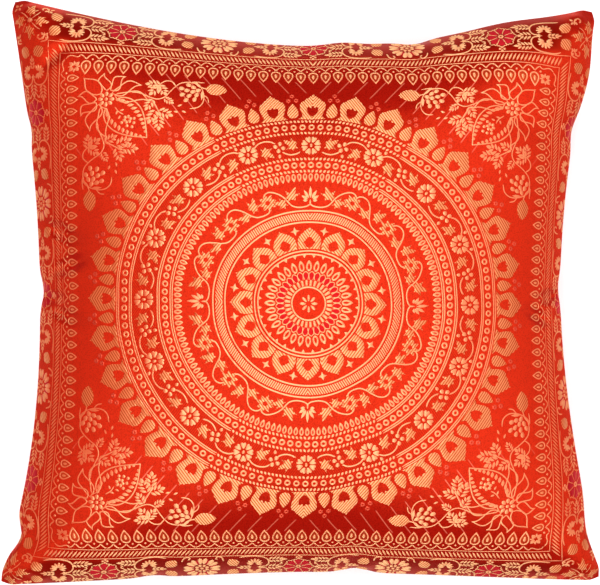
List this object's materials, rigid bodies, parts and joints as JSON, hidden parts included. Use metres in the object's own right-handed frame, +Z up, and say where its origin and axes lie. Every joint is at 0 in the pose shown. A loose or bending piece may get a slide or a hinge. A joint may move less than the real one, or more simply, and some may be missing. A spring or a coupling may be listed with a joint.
{
  "type": "filled cushion cover",
  "caption": "Square knife-edge cushion cover in red and gold brocade, filled, with drawn-in sides, small rounded ears at the corners and a flat resting spot.",
  "frame": {"origin": "on the resting surface, under the middle of the cushion's box", "axes": "+Z up out of the front, +Y towards the top edge of the front, +X towards its right edge"},
  "size_m": [0.3928, 0.3824, 0.138],
  "materials": {
    "red_satin": "satin-faced brocade ground, crimson to orange with the light",
    "gold_thread": "metallic gold weft floats, diagonal twill lines",
    "pink_thread": "silk weft, pink",
    "plain_back": "plain-woven satin back"
  },
  "bodies": {
    "root": {"cushion": "red_satin"}
  },
  "joints": []
}
